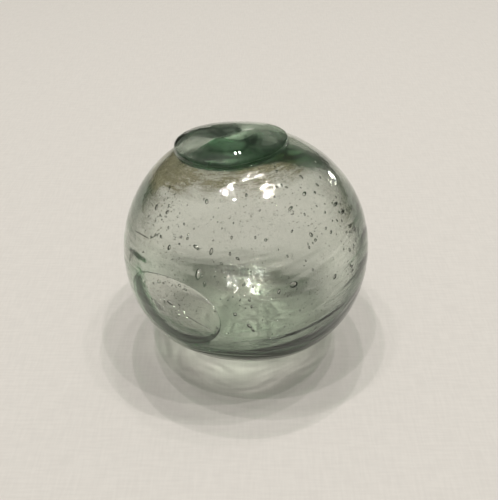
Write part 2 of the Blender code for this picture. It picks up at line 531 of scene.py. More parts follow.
@dataclass(frozen=True)
class Wall:
    """How thick the blown wall is, and the ripples and lumps that the blowing left in it."""

    form: FloatForm
    side: float = 0.0014
    bottom_extra: float = 0.0015
    bottom_reach: float = radians(58)
    pool_depth: float = 0.0020
    pool_reach: float = radians(30)
    thick_places: tuple[Swell, ...] = (
        Swell(radians(24), radians(64), 0.0013, radians(17)),
        Swell(radians(139), radians(83), 0.0006, radians(17)),
        Swell(radians(10), radians(74), 0.0012, radians(14)),
    )
    cord_depth: float = 0.00009
    cord_counts: tuple[int, ...] = (31, 44, 59, 78, 103)
    cord_wander: float = 0.055
    cord_wander_length: float = 1.3
    cord_fade_level: float = 0.35
    cord_fade_contrast: float = 0.7
    cord_fade_length: float = 0.9
    cord_step: Step = (radians(45), radians(30))
    slow_waves: int = 10
    lump_depth: float = 0.00010
    lump_length: float = 0.0120
    dimple_depth: float = 0.000055
    dimple_length: float = 0.0042

    def below_crown(self, ways: Array) -> Array:
        """Return the angle of each direction from the blow axis."""
        return angle_from(self.form.turn[:, 2], ways)

    def thickness(self, ways: Array) -> Array:
        """Return the wall's thickness: bell curves round its thick places, on an even wall.

        Args:
            ways: Unit directions from the globe's centre.

        Returns:
            A thickness for each direction.
        """
        from_bottom = pi - self.below_crown(ways)
        thick = self.side + self.bottom_extra * bell(from_bottom, self.bottom_reach)
        thick += self.pool_depth * bell(from_bottom, self.pool_reach)
        for place in self.thick_places:
            thick += place.height * place.share(ways)
        return thick

    def cords(self, ways: Array, seed: int) -> Array:
        """Return the ripple of the cords, which run round the ball as the gather was turned.

        The ripple is a sum of cosines of the angle from the crown, each with a slight spiral and
        a slow wander, faded in and out by slow noise.

        Args:
            ways: Unit directions from the globe's centre.
            seed: Seed of the phases and of the slow noise.

        Returns:
            A height for each direction.
        """
        local = ways @ self.form.turn
        longitude = np.arctan2(local[..., 1], local[..., 0])
        wander = wave_noise(ways, self.cord_wander_length, seed + 1, self.slow_waves)
        drop = self.below_crown(ways) + self.cord_wander * wander
        draw = np.random.default_rng(seed)
        ripple = np.zeros(drop.shape)
        for number, count in enumerate(self.cord_counts):
            spiral = int(draw.integers(-2, 3))
            phase = draw.uniform(0.0, 2.0 * pi)
            slow = wave_noise(ways, self.cord_fade_length, seed + 2 + number, self.slow_waves)
            fade = smooth_step(self.cord_fade_level + self.cord_fade_contrast * slow)
            height = self.cord_counts[0] / count * fade
            ripple += height * np.cos(count * drop + spiral * longitude + phase)
        return self.cord_depth * ripple * smooth_step(drop, *self.cord_step) * np.sin(drop)

    def lumps(self, ways: Array, seed: int) -> Array:
        """Return the lumps in the thick bottom glass: plane-wave noise, faded out up the sides.

        Args:
            ways: Unit directions from the globe's centre.
            seed: Seed of the noise.

        Returns:
            A height for each direction.
        """
        fade = bell(pi - self.below_crown(ways), self.bottom_reach, 4)
        points = ways * self.form.globe_radius
        lumps = self.lump_depth * wave_noise(points, self.lump_length, seed)
        return fade * (lumps + self.dimple_depth * wave_noise(points, self.dimple_length, seed + 1))


@dataclass(frozen=True)
class Blister:
    """The flat oval air pocket in the wall, low on the left."""

    form: FloatForm
    azimuth: float = radians(-125.0)
    elevation: float = radians(-2.0)
    half_size: float = 0.01476
    lobes: tuple[tuple[int, float, float], ...] = (
        (1, -0.009, 0.010),
        (2, 0.158, 0.019),
        (3, -0.025, 0.008),
        (4, 0.016, 0.012),
    )
    depth: float = 0.0027
    thin_side_share: float = 0.46
    skin: float = 0.0007
    inner_skin: float = 0.0006
    bulge: float = 0.0004
    bluntness: float = 0.42
    inner_bluntness: float = 0.8
    low_edge_turn: float = 0.35
    cover_step: Step = (0.80, 1.10)
    columns: int = 72
    rings: int = 30

    @cached_property
    def frame(self) -> Array:
        """The directions east, north and out of the wall at the blister's middle, as rows."""
        out = unit(self.azimuth, self.elevation)
        return np.stack((*east_north(out), out))

    def edge(self, bearing: Array) -> Array:
        """Return the pocket's outline, a circle with low cosine lobes.

        Args:
            bearing: Angles round the pocket's middle, from east.

        Returns:
            The pocket's half-size at each bearing.
        """
        share = np.ones_like(bearing)
        for count, cosine_share, sine_share in self.lobes:
            share = share + cosine_share * np.cos(count * bearing)
            share = share + sine_share * np.sin(count * bearing)
        return self.half_size * share

    def share_of_reach(self, ways: Array) -> Array:
        """Return how far directions are from the pocket's middle.

        Args:
            ways: Unit directions from the globe's centre.

        Returns:
            Shares of the pocket's half-size on that bearing, with 1 at its edge.
        """
        east, north, out = self.frame
        bearing = np.arctan2(ways @ north, ways @ east)
        return angle_from(out, ways) * self.form.globe_radius / self.edge(bearing)

    def depth_at(self, bearing: Array, share: Array) -> Array:
        """Return the pocket's depth: deep and blunt at its low edge, thin at its high."""
        lean = 0.5 - 0.5 * np.sin(bearing + self.low_edge_turn) * share
        return self.depth * (self.thin_side_share + (1.0 - self.thin_side_share) * lean)

    def cover(self, ways: Array, wall: Array) -> Array:
        """Thicken the wall where it has to hold the pocket and its inner skin.

        Args:
            ways: Unit directions from the globe's centre.
            wall: The wall's thickness along each.

        Returns:
            The thickness with the pocket let into it.
        """
        east, north, _ = self.frame
        share = self.share_of_reach(ways)
        around = 1.0 - smooth_step(share, *self.cover_step)
        bearing = np.arctan2(ways @ north, ways @ east)
        held = self.skin + self.depth_at(bearing, np.minimum(share, 1.0)) + self.inner_skin
        return wall + np.maximum(0.0, held - wall) * around

    def shell(self) -> Shell:
        """Build the pocket as a void.

        Going round from the middle of its outer face over its edge to the middle of its inner
        face by an angle, the distance from the middle is the angle's sine to a power, and the
        depth grows from the outer face's to the inner face's with the angle's cosine. The outer
        face sinks away from the skin with the square of the distance, as a lens does.

        Returns:
            The shell, its faces towards the air in the pocket.
        """
        bearing = np.linspace(0.0, 2.0 * pi, self.columns, endpoint=False)
        angle = np.linspace(0.0, pi, self.rings + 2)[1:-1, None]
        spread = np.sin(angle) ** self.bluntness
        level = np.cos(angle)
        fall = (1.0 - np.sign(level) * np.abs(level) ** self.inner_bluntness) / 2.0
        off = spread * self.edge(bearing)[None, :] / self.form.globe_radius
        east, north, out = self.frame
        sideways = np.cos(bearing)[:, None] * east + np.sin(bearing)[:, None] * north
        ways = np.cos(off)[..., None] * out + np.sin(off)[..., None] * sideways[None]
        thin = self.depth_at(bearing, np.clip(spread, 0.0, 1.0))
        deep = self.skin + self.bulge * spread**2 + (thin - self.bulge * spread**2) * fall
        rows = ways * (self.form.reach(ways) - deep)[..., None] + self.form.centre
        middle_depth = float(self.depth_at(np.zeros(1), np.zeros(1))[0])
        outer_reach = self.form.reach(out[None])[0] - self.skin
        outer = out * outer_reach + self.form.centre
        inner = out * (outer_reach - middle_depth) + self.form.centre
        return closed_shell(rows, outer, inner).turned_inside_out()


@dataclass(frozen=True)
class Seed:
    """A seed that the photo shows by itself: the pixels of its two ends and its width."""

    x: float
    y: float
    to_x: float
    to_y: float
    width_px: float


@dataclass(frozen=True)
class SeedCluster:
    """A crowd of small seeds: the pixel of its middle, its spread and its seeds' size."""

    x: float
    y: float
    spread_px: float
    count: int
    size_px: float


@dataclass(frozen=True)
class Seeds:
    """The small air bubbles in the self.wall."""

    form: FloatForm
    view: PhotoView
    wall: Wall
    blister: Blister
    count: int = 300
    tries_per_seed: int = 4
    smallest: float = 0.00014
    largest: float = 0.0009
    spread: float = 0.50
    middle_size: float = 0.00030
    stretch: float = 1.6
    lean_spread: float = radians(38)
    wall_share: float = 0.30
    sparse: float = 0.20
    patch_length: float = 1.1
    patch_level: float = 0.4
    patch_contrast: float = 0.9
    sides_step: Step = (0.45, 0.3)
    top_limit: float = 0.86
    bottom_limit: float = -0.96
    clear_of_pocket: float = 1.25
    columns: int = 7
    rings: int = 3
    large_from: float = 0.0007
    large_columns: int = 14
    large_rings: int = 8
    seed: int = 7
    px_per_m: float = 3020.0
    seen: tuple[Seed, ...] = tuple(
        Seed(*row)
        for row in (
            (131, 262, 134, 249, 3.5), (197, 280, 199, 269, 5), (290, 286, 298, 284, 6),
            (233, 316, 237, 314, 4), (247, 325, 252, 329, 3), (252, 329, 254, 333, 2.5),
            (169, 299, 175, 303, 4), (300, 174, 304, 178, 2.2), (168, 250, 170, 245, 3.2),
            (179, 237, 182, 237, 2.8), (186, 240, 188, 237, 2.8), (178, 244, 180, 244, 2.2),
            (193, 245, 198, 249, 3), (210, 255, 212, 248, 3), (147, 286, 148, 280, 2.6),
            (159, 281, 162, 282, 2.6), (164, 282, 166, 283, 2.2), (179, 284, 182, 286, 2.8),
            (184, 288, 188, 290, 2.6), (150, 296, 152, 299, 2.6), (187, 314, 212, 329, 1.4),
            (205, 339, 214, 337, 2.2), (214, 337, 219, 328, 2.2), (135, 230, 150, 239, 1.1),
            (150, 239, 160, 233, 1.1), (265, 241, 267, 239, 3), (341, 214, 345, 210, 3),
            (334, 206, 338, 202, 3), (350, 228, 351, 224, 2.6), (315, 241, 317, 239, 3),
            (289, 210, 293, 206, 2.6), (331, 234, 332, 230, 2.6),
        )
    )
    clusters: tuple[SeedCluster, ...] = tuple(
        SeedCluster(*row)
        for row in (
            (154, 216, 10, 22, 2.0), (172, 205, 16, 16, 1.8), (344, 203, 8, 26, 2.4),
            (351, 232, 9, 28, 2.3), (354, 270, 8, 26, 2.3), (322, 198, 16, 18, 2.0),
            (300, 185, 14, 14, 1.9), (325, 240, 14, 18, 2.1), (255, 222, 40, 22, 1.7),
            (275, 295, 32, 30, 2.0), (215, 300, 20, 18, 2.0), (160, 287, 12, 14, 2.0),
            (250, 335, 30, 22, 1.9), (195, 225, 22, 16, 1.8),
        )
    )

    def ellipsoids(self, centres: Array, axes: Array, halves: Array) -> list[Shell]:
        """Build one void for each seed, an ellipsoid on its own axes.

        Args:
            centres: The seeds' middles, as rows.
            axes: For each seed its long, cross and outward directions.
            halves: For each seed its three half-sizes.

        Returns:
            The shells, faces towards the air.
        """
        shells = []
        for centre, frame_rows, half in zip(centres, axes, halves):
            large = half[0] > self.large_from
            columns = self.large_columns if large else self.columns
            rings = self.large_rings if large else self.rings
            longitude = np.linspace(0.0, 2.0 * pi, columns, endpoint=False)
            polar = np.linspace(0.0, pi, rings + 2)[1:-1, None]
            rows = (on_sphere(polar, longitude) * half) @ frame_rows + centre
            pole = frame_rows[2] * half[2]
            shells.append(closed_shell(rows, centre + pole, centre - pole).turned_inside_out())
        return shells

    def drawn(self) -> tuple[Array, Array, Array]:
        """Draw the places, leans and sizes of the scattered and the crowded seeds.

        Returns:
            Directions, leans from the meridian and half-lengths.
        """
        draw = np.random.default_rng(self.seed)
        ways = normalised(draw.normal(size=(self.count * self.tries_per_seed, 3)))
        local = ways @ self.form.turn
        patches = wave_noise(ways, self.patch_length, self.seed + 1)
        patchy = smooth_step(self.patch_level + self.patch_contrast * patches)
        crowd = self.sparse + (1.0 - self.sparse) * patchy
        sides = smooth_step(np.abs(ways[:, 0]), *self.sides_step)
        keep = draw.uniform(size=len(ways)) < np.maximum(crowd, sides)
        keep &= (local[:, 2] < self.top_limit) & (ways[:, 2] > self.bottom_limit)
        keep &= self.blister.share_of_reach(ways) > self.clear_of_pocket
        ways = ways[keep][: self.count]
        middles = np.full(len(ways), self.middle_size)
        for crowd_of in self.clusters:
            place = (crowd_of.x, crowd_of.y)
            pixels = draw.normal(place, crowd_of.spread_px, (crowd_of.count, 2))
            ways = np.concatenate((ways, [self.view.way_to(tuple(pixel)) for pixel in pixels]))
            half = crowd_of.size_px / self.px_per_m / 2.0
            middles = np.concatenate((middles, np.full(crowd_of.count, half)))
        lean = draw.normal(0.0, self.lean_spread, len(ways))
        size = middles * np.exp(draw.normal(0.0, self.spread, len(ways)))
        return ways, lean, np.clip(size, self.smallest, self.largest)

    def shells(self) -> list[Shell]:
        """Build every seed in the middle of the wall, flattened to fit it.

        Returns:
            The seeds' shells.
        """
        ways, lean, long_half = self.drawn()
        cross_half = long_half / self.stretch
        starts = np.array([self.view.way_to((seed.x, seed.y)) for seed in self.seen])
        ends = np.array([self.view.way_to((seed.to_x, seed.to_y)) for seed in self.seen])
        marked = normalised(starts + ends)
        marked_east, marked_north = east_north(marked)
        span = (ends - starts) * self.form.globe_radius
        marked_lean = np.arctan2(
            np.einsum("ij,ij->i", span, marked_east), np.einsum("ij,ij->i", span, marked_north)
        )
        marked_cross = np.array([seed.width_px for seed in self.seen]) / self.px_per_m / 2.0
        marked_long = np.maximum(np.linalg.norm(span, axis=1) / 2.0, marked_cross)
        ways = np.concatenate((ways, marked))
        lean = np.concatenate((lean, marked_lean))
        long_half = np.concatenate((long_half, marked_long))
        cross_half = np.concatenate((cross_half, marked_cross))
        over_pocket = self.blister.share_of_reach(ways) < self.clear_of_pocket
        thick = np.where(over_pocket, self.blister.skin, self.wall.thickness(ways))
        out_half = np.minimum(cross_half, thick * self.wall_share)
        east, north = east_north(ways)
        long_way = north * np.cos(lean)[:, None] + east * np.sin(lean)[:, None]
        axes = np.stack((long_way, np.cross(ways, long_way), ways), axis=1)
        centres = ways * (self.form.reach(ways) - thick / 2.0)[:, None] + self.form.centre
        halves = np.stack((long_half, cross_half, out_half), axis=1)
        return self.ellipsoids(centres, axes, halves)


@dataclass(frozen=True)
class Span:
    """A move of a value from one span to another: its two ends and what they become."""

    low: float
    high: float
    to_low: float
    to_high: float


@dataclass(frozen=True)
class Graph:
    """Short calls for adding nodes to a material's tree."""

    tree: bpy.types.NodeTree

    def add(self, kind: str, **settings: object) -> bpy.types.Node:
        """Add a node and set its plain properties.

        Args:
            kind: The node's type name, without its ShaderNode prefix.
            **settings: Property names and values.

        Returns:
            The node.
        """
        node = self.tree.nodes.new(f"ShaderNode{kind}")
        for name, value in settings.items():
            setattr(node, name, value)
        return node

    def join(self, source: Socket, target: Socket) -> None:
        """Link a source socket to a target socket."""
        self.tree.links.new(source, target)

    def put(self, value: Socket | float | Colour, target: Socket) -> None:
        """Link a socket to a target, or set the target's own value.

        Args:
            value: A socket, a number, or a colour as red, green and blue.
            target: The socket that takes it.
        """
        if isinstance(value, Socket):
            self.join(value, target)
        else:
            target.default_value = (*value, 1.0) if isinstance(value, tuple) else value

    def maths(
        self, operation: str, first: Socket | float, second: Socket | float, clamp: bool = False
    ) -> Socket:
        """Do a sum.

        Args:
            operation: The Math node's operation.
            first: A socket or a number.
            second: A socket or a number.
            clamp: Whether the result is held between 0 and 1.

        Returns:
            The result.
        """
        node = self.add("Math", operation=operation, use_clamp=clamp)
        self.put(first, node.inputs[0])
        self.put(second, node.inputs[1])
        return node.outputs[0]

    def look(self, look: Look) -> Socket:
        """Read one of the values that the glass's points carry."""
        return self.add("Attribute", attribute_name=look.value).outputs["Fac"]

    def noise(self, place: Socket, scale: float, detail: float = 2.0) -> Socket:
        """Read noise.

        Args:
            place: Where it is read.
            scale: Its waves in a metre.
            detail: How many finer waves lie on them.

        Returns:
            A value round 0.5.
        """
        node = self.add("TexNoise")
        node.inputs["Scale"].default_value = scale
        node.inputs["Detail"].default_value = detail
        self.join(place, node.inputs["Vector"])
        return node.outputs["Fac"]

    def mapped(self, place: Socket, setting: str, values: Triple) -> Socket:
        """Turn or stretch coordinates.

        Args:
            place: The coordinates.
            setting: The Mapping node's input, Rotation or Scale.
            values: The three turns or scales.

        Returns:
            The new coordinates.
        """
        node = self.add("Mapping", vector_type="POINT")
        node.inputs[setting].default_value = values
        self.join(place, node.inputs["Vector"])
        return node.outputs["Vector"]

    def moved(self, value: Socket, span: Span) -> Socket:
        """Move a value from one span to another, and hold it inside that.

        Args:
            value: The value.
            span: The two spans.

        Returns:
            The moved value.
        """
        node = self.add("MapRange")
        self.join(value, node.inputs["Value"])
        for name, number in zip(("From Min", "From Max", "To Min", "To Max"), astuple(span)):
            node.inputs[name].default_value = number
        return node.outputs["Result"]

    def blend(
        self, amount: Socket | float, first: Socket | Colour, second: Socket | Colour
    ) -> Socket:
        """Mix two colours.

        Args:
            amount: How much of the second colour there is.
            first: A colour.
            second: A colour.

        Returns:
            The mix.
        """
        node = self.add("Mix", data_type="RGBA")
        self.put(amount, node.inputs["Factor"])
        self.put(first, node.inputs["A"])
        self.put(second, node.inputs["B"])
        return node.outputs["Result"]


@dataclass(frozen=True)
class FloatGlass:
    """The finish of the glass: clear, green where it is thick, grimy where a film lies on it,
    with painted light and shade on the button and the skin's strokes, and painted shade at the
    limb.

    A scale is in waves a metre, and a height is a share of the bump's distance.
    """

    roughness: float = 0.03
    haze_roughness: float = 0.30
    ior: float = 1.52
    clear: Colour = (0.980, 0.962, 0.962)
    film: Colour = (0.17, 0.145, 0.072)
    speck: Colour = (0.22, 0.20, 0.15)
    # Deep green of thick glass, and also the colour of the painted shade
    deep: Colour = (0.030, 0.055, 0.035)
    absorption: Colour = (0.43, 0.71, 0.48)
    absorption_per_m: float = 95.0
    lean_to_left: float = FloatForm.lean_to_left
    lean_to_back: float = FloatForm.lean_to_back
    bump_strength: float = 0.16
    bump_distance: float = 0.0004
    streak_scales: Triple = (30.0, 30.0, 620.0)
    streak_detail: float = 2.5
    streak_height: float = 0.7
    ripple_scale: float = 450.0
    ripple_height: float = 0.30
    swell_scale: float = 170.0
    crackle_scale: float = 900.0
    crackle_height: float = 0.8
    net_scale: float = 120.0
    net: Span = Span(0.0, 0.045, 3.2, 0.0)
    grain_scale: float = 2100.0
    smear_scales: Triple = (260.0, 260.0, 2400.0)
    smear_share: float = 1.2
    grain: Span = Span(0.85, 1.35, 0.60, 1.20)
    film_slant: Span = Span(0.25, 0.95, 0.95, 2.00)
    speck_scale: float = 900.0
    speck_chosen: Span = Span(0.54, 0.56, 0.0, 1.0)
    speck_size: Span = Span(0.14, 0.26, 1.0, 0.0)
    speck_crowd_scale: float = 60.0
    speck_crowd: Span = Span(0.42, 0.60, 0.15, 1.0)
    # Painted shade at the limb: darker where the skin is seen at a slant, a little lighter at the
    # very edge
    limb_slant: Span = Span(0.34, 0.62, 0.0, 1.0)
    limb_edge: Span = Span(0.82, 1.0, 1.0, 0.4)
    light_stops: tuple[tuple[float, float], ...] = (
        (0.0, 1.0), (0.10, 0.98), (0.22, 0.75), (0.80, 0.72), (1.0, 0.62)
    )
    light_tint: Colour = (1.0, 0.97, 0.985)

    def material(self) -> bpy.types.Material:
        """Build the glass.

        Returns:
            The material.
        """
        material = bpy.data.materials.new("float_glass")
        material.use_nodes = True
        graph = Graph(material.node_tree)
        shader = graph.tree.nodes["Principled BSDF"]
        output = graph.tree.nodes["Material Output"]
        shader.inputs["IOR"].default_value = self.ior
        shader.inputs["Transmission Weight"].default_value = 1.0
        place = graph.add("TexCoord").outputs["Object"]
        graph.join(self.grime_and_painted_shade_colour(graph, place), shader.inputs["Base Color"])
        rough = graph.maths("MULTIPLY", graph.look(Look.HAZE), self.haze_roughness)
        graph.join(graph.maths("ADD", rough, self.roughness), shader.inputs["Roughness"])
        graph.join(self.relief(graph, place), shader.inputs["Normal"])
        soak = graph.add("VolumeAbsorption")
        soak.inputs["Color"].default_value = (*self.absorption, 1.0)
        soak.inputs["Density"].default_value = self.absorption_per_m
        graph.join(soak.outputs["Volume"], output.inputs["Volume"])
        self.let_light_through(graph, shader, output)
        return material

    def relief(self, graph: Graph, place: Socket) -> Socket:
        """Build the fine relief: streaks, ripples, the film's crackle and the bottom's net.

        Args:
            graph: The material's nodes.
            place: The object's own coordinates.

        Returns:
            The bumped normal.
        """
        streaks = self.streaks(graph, place, self.streak_scales)
        ripples = graph.maths("MULTIPLY", graph.noise(place, self.ripple_scale), self.ripple_height)
        height = graph.maths("ADD", graph.maths("MULTIPLY", streaks, self.streak_height), ripples)
        height = graph.maths("ADD", height, graph.noise(place, self.swell_scale))
        film = graph.look(Look.FILM)
        crackle = graph.maths("MULTIPLY", graph.noise(place, self.crackle_scale), film)
        crackle = graph.maths("MULTIPLY", crackle, self.crackle_height)
        height = graph.maths("ADD", height, crackle)
        net = graph.maths("SUBTRACT", graph.noise(place, self.net_scale, 1.0), 0.5)
        net = graph.maths("ABSOLUTE", net, 0.0)
        ripple = graph.look(Look.RIPPLE)
        ridges = graph.maths("MULTIPLY", graph.moved(net, self.net), ripple)
        bump = graph.add("Bump")
        bump.inputs["Strength"].default_value = self.bump_strength
        bump.inputs["Distance"].default_value = self.bump_distance
        graph.join(graph.maths("ADD", height, ridges), bump.inputs["Height"])
        return bump.outputs["Normal"]

    def streaks(self, graph: Graph, place: Socket, scales: Triple) -> Socket:
        """Build noise drawn out in circles round the blow axis, by its scales."""
        turned = graph.mapped(place, "Rotation", (self.lean_to_back, self.lean_to_left, 0.0))
        return graph.noise(graph.mapped(turned, "Scale", scales), 1.0, self.streak_detail)

    def grime_and_painted_shade_colour(self, graph: Graph, place: Socket) -> Socket:
        """Build the tint of the surface: clear, with a grainy film and fine dark specks, and over
        them the deep tint with its painted light and shade, and painted shade at the limb.

        Args:
            graph: The material's nodes.
            place: The object's own coordinates.

        Returns:
            A colour.
        """
        film = graph.look(Look.FILM)
        fine = graph.noise(place, self.grain_scale, 3.0)
        smeared = self.streaks(graph, place, self.smear_scales)
        both = graph.maths("ADD", fine, graph.maths("MULTIPLY", smeared, self.smear_share))
        grain = graph.moved(both, self.grain)
        facing = graph.add("LayerWeight").outputs["Facing"]
        slant = graph.moved(facing, self.film_slant)
        amount = graph.maths("MULTIPLY", graph.maths("MULTIPLY", film, slant), grain, clamp=True)
        tint = graph.blend(amount, self.clear, self.film)
        cells = graph.add("TexVoronoi")
        cells.inputs["Scale"].default_value = self.speck_scale
        graph.join(place, cells.inputs["Vector"])
        chosen = graph.moved(cells.outputs["Color"], self.speck_chosen)
        near = graph.moved(cells.outputs["Distance"], self.speck_size)
        crowd = graph.moved(graph.noise(place, self.speck_crowd_scale), self.speck_crowd)
        spot = graph.maths("MULTIPLY", graph.maths("MULTIPLY", chosen, near), crowd, clamp=True)
        # Deep tint with painted light and shade, and painted shade at the limb, laid over the film
        # and specks
        shade = graph.look(Look.DEEP_TINT_AND_PAINTED_SHADING)
        limb = graph.look(Look.PAINTED_LIMB_SHADE)
        slanted = graph.moved(facing, self.limb_slant)
        edge_on = graph.moved(facing, self.limb_edge)
        limb = graph.maths("MULTIPLY", limb, graph.maths("MULTIPLY", slanted, edge_on))
        shade = graph.maths("ADD", shade, limb, clamp=True)
        return graph.blend(shade, graph.blend(spot, tint, self.speck), self.deep)

    def let_light_through(
        self, graph: Graph, shader: bpy.types.Node, output: bpy.types.Node
    ) -> None:
        """Let the lamps shine through the ball: clear in its middle and dim towards its limb.

        Args:
            graph: The material's nodes.
            shader: The glass shader.
            output: The material's output.
        """
        path = graph.add("LightPath").outputs
        either = graph.maths("MAXIMUM", path["Is Shadow Ray"], path["Is Diffuse Ray"])
        facing = graph.add("LayerWeight").outputs["Facing"]
        ramp = graph.add("ValToRGB")
        ramp.color_ramp.interpolation = "EASE"
        stops = ramp.color_ramp.elements
        while len(stops) < len(self.light_stops):
            stops.new(0.5)
        for stop, (position, value) in zip(stops, self.light_stops):
            stop.position = position
            stop.color = (*(value * share for share in self.light_tint), 1.0)
        graph.join(facing, ramp.inputs["Fac"])
        glow = graph.look(Look.GLOW)
        light = graph.add("VectorMath", operation="SCALE")
        graph.join(ramp.outputs["Color"], light.inputs["Vector"])
        graph.join(glow, light.inputs["Scale"])
        through = graph.add("BsdfTransparent")
        graph.join(light.outputs["Vector"], through.inputs["Color"])
        mix = graph.add("MixShader")
        graph.join(either, mix.inputs["Fac"])
        graph.join(shader.outputs["BSDF"], mix.inputs[1])
        graph.join(through.outputs["BSDF"], mix.inputs[2])
        graph.join(mix.outputs["Shader"], output.inputs["Surface"])


@dataclass(frozen=True)
class Patch:
    """A soft patch on the skin: the pixel of its middle, its reach and its strength."""

    x: float
    y: float
    reach: float
    strength: float

    def share(self, view: PhotoView, ways: Array) -> Array:
        """Return how much of the patch each direction has, a bell curve of its angle."""
        return bell(angle_from(view.way_to((self.x, self.y)), ways), self.reach)


@dataclass(frozen=True)
class Stroke:
    """A soft stroke on the near skin: the pixels that it joins, its half-width and its amount."""

    path: tuple[Pixel, ...]
    half_width: float
    amount: float
    crisp: float = 2.0

    def at(self, pixels: Array) -> Array:
        """Return the stroke's strength, a bell curve of the distance from its line.

        Args:
            pixels: Places in the photo's frame.

        Returns:
            One value for each place.
        """
        away = np.full(len(pixels), np.inf)
        for start, end in zip(np.array(self.path), np.array(self.path[1:])):
            run = end - start
            offset = pixels - start
            along = np.clip(offset @ run / float(run @ run), 0.0, 1.0)
            away = np.minimum(away, np.linalg.norm(offset - along[..., None] * run, axis=-1))
        return self.amount * bell(away, self.half_width, self.crisp)


@dataclass(frozen=True)
class Gathering:
    """How the lower skin gathers the lamps' light on to the cloth.

    It gathers it in streaks that run round the ball close to where it stands, more in front than
    at the sides, and leaves a dark line outside them.
    """

    form: FloatForm
    fade_height: float = 0.008
    wander: Noise = Noise(1.0, 0.020, 71)
    breaks: Noise = Noise(1.0, 0.009, 72)
    streak_waves: tuple[tuple[float, float], ...] = ((0.00042, 2.6), (0.00071, 3.1))
    streak_strength: float = 0.34
    streak_end: Step = (0.026, 0.008)
    broken_share: float = 0.4
    break_strength: float = 0.10
    front: float = radians(-97)
    front_reach: float = radians(34)
    ring_radius: float = 0.0215
    ring_reach: float = 0.0060
    ring_strength: float = 0.25
    ring_front_strength: float = 0.55
    dark_radius: float = 0.0300
    dark_reach: float = 0.0022
    dark_strength: float = 0.10

    def strength(self, points: Array) -> Array:
        """Return how much light each point lets through, against the rest of the skin.

        Args:
            points: World points.

        Returns:
            A factor for each point, 1 where the light is neither gathered nor spread.
        """
        away = np.hypot(points[:, 0], points[:, 1])
        azimuth = np.arctan2(points[:, 1], points[:, 0])
        low = smooth_step((self.form.centre[2] - points[:, 2]) / self.fade_height)
        wander = self.wander.at(points)
        breaks = self.breaks.at(points)
        streaks = sum(np.sin(away / pitch + sway * wander) for pitch, sway in self.streak_waves)
        front = bell(azimuth - self.front, self.front_reach)
        gathered = bell(away - self.ring_radius, self.ring_reach)
        gathered *= self.ring_strength + self.ring_front_strength * front
        dark_line = self.dark_strength * bell(away - self.dark_radius, self.dark_reach)
        broken = 1.0 - self.broken_share + self.broken_share * breaks
        streaky = self.streak_strength * streaks * broken
        streaky *= 1.0 - smooth_step(away, *self.streak_end)
        return 1.0 + low * (gathered - dark_line + streaky + self.break_strength * breaks)


@dataclass(frozen=True)
class Film:
    """The brown film on the skin.

    It is a ring just under the button, broken up by noise, soft patches on both sides of the
    ball, strokes in front and a faint trace all over.
    """

    form: FloatForm
    view: PhotoView
    outer: float = 0.0262
    inset: float = 0.004
    fade: float = 0.007
    far_share: float = 2.0
    wander: tuple[Noise, ...] = (Noise(0.0016, 0.020, 5), Noise(0.0007, 0.005, 6))
    ring_strength: float = 0.90
    ring_noise: Noise = Noise(0.28, 0.012, 8)
    side: float = radians(-118)
    side_step: Step = (-0.35, 0.9)
    far_side_share: float = 0.20
    blot_level: float = 0.75
    blot_contrast: float = 0.40
    blot_length: float = 0.009
    stroke_level: float = 0.85
    stroke_noise: Noise = Noise(0.2, 0.008, 10)
    trace: float = 0.07
    trace_noise: Noise = Noise(0.03, 0.015, 9)
    globe_step: Step = (0.985, 0.03)
    everywhere: float = 0.03
    patches: tuple[Patch, ...] = (
        Patch(354, 205, radians(15), 0.42),
        Patch(363, 240, radians(17), 0.36),
        Patch(362, 285, radians(15), 0.26),
        Patch(322, 186, radians(9), 0.26),
        Patch(142, 198, radians(17), 0.36),
        Patch(158, 182, radians(12), 0.26),
        Patch(131, 245, radians(16), 0.16),
    )
    strokes: tuple[Stroke, ...] = (
        Stroke(((160, 184), (182, 172)), 12.0, 0.70),
        Stroke(((182, 174), (212, 177), (240, 176)), 8.5, 1.15),
        Stroke(((240, 174), (262, 169), (288, 161)), 7.0, 1.00),
    )

    def strength(self, share: Array, points: Array) -> Array:
        """Return how strongly the film lies at each point of the skin.

        Args:
            share: How far each point is from the button's middle, with 1 at its outline.
            points: World points.

        Returns:
            Values from 0 to 1.
        """
        ways = normalised(points - self.form.centre)
        off_axis = np.minimum(share, self.far_share) * self.form.button_radius
        wander = sum(noise.at(points) for noise in self.wander)
        ring = 1.0 - smooth_step((off_axis + wander - self.outer + self.inset) / self.fade)
        azimuth = np.arctan2(ways[:, 1], ways[:, 0])
        side = smooth_step(np.cos(azimuth - self.side), *self.side_step)
        ring *= self.far_side_share + (1.0 - self.far_side_share) * side
        ring *= 1.0 - self.ring_noise.amount + self.ring_noise.at(points)
        strength = self.ring_strength * ring
        for patch in self.patches:
            blot = wave_noise(points, self.blot_length, int(patch.x))
            blot = self.blot_level + self.blot_contrast * blot
            strength += patch.strength * blot * patch.share(self.view, ways)
        pixels = self.view.pixels_of(points)
        near = self.view.near_side(points)
        blot = self.stroke_level + self.stroke_noise.at(points)
        for stroke in self.strokes:
            strength += near * stroke.at(pixels) * blot
        strength += self.trace + self.trace_noise.at(points)
        on_globe = smooth_step(share, *self.globe_step)
        return np.clip(strength * on_globe + self.everywhere, 0.0, 1.0)


